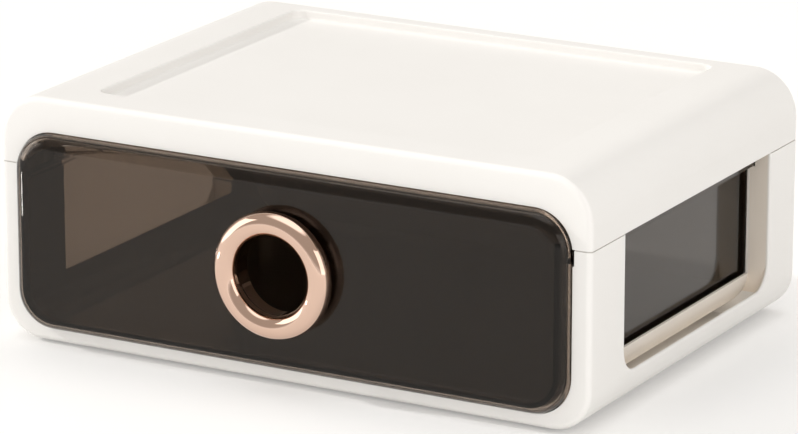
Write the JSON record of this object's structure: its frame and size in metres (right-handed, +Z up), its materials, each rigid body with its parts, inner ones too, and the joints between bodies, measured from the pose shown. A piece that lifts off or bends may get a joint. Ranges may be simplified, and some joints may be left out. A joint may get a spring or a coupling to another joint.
{
  "type": "desktop drawer unit",
  "caption": "Low white desk casing with a shallow deck tray and side windows, holding one smoky drawer with a ring handle round a finger hole.",
  "frame": {"origin": "centre of the whole box's footprint, handle included, on the plane that the pads stand on", "axes": "+Z up; the drawer opens towards -Y; +X is to the right of someone facing the drawer's front"},
  "size_m": [0.34, 0.2564, 0.1315],
  "materials": {
    "white_shell": "satin, fine texture",
    "white_channel": "satin",
    "smoky_drawer": "polished see-through smoky plastic",
    "rose_metal": "polished rose gold",
    "lock_plastic": "smooth",
    "foot_rubber": "soft, matt"
  },
  "bodies": {
    "casing": {"top_cover": "white_shell", "lower_casing": "white_shell", "drawer_channel": "white_channel", "foot_front_left": "foot_rubber", "foot_front_right": "foot_rubber", "foot_rear_left": "foot_rubber", "foot_rear_right": "foot_rubber"},
    "drawer_body": {"drawer": "smoky_drawer", "handle_ring": "rose_metal", "handle_lock_ring": "lock_plastic"}
  },
  "joints": [
    {"name": "drawer_slide", "type": "slide", "parent": "casing", "child": "drawer_body", "axis": [0, -1, 0], "range_m": [0, 0.161]}
  ]
}
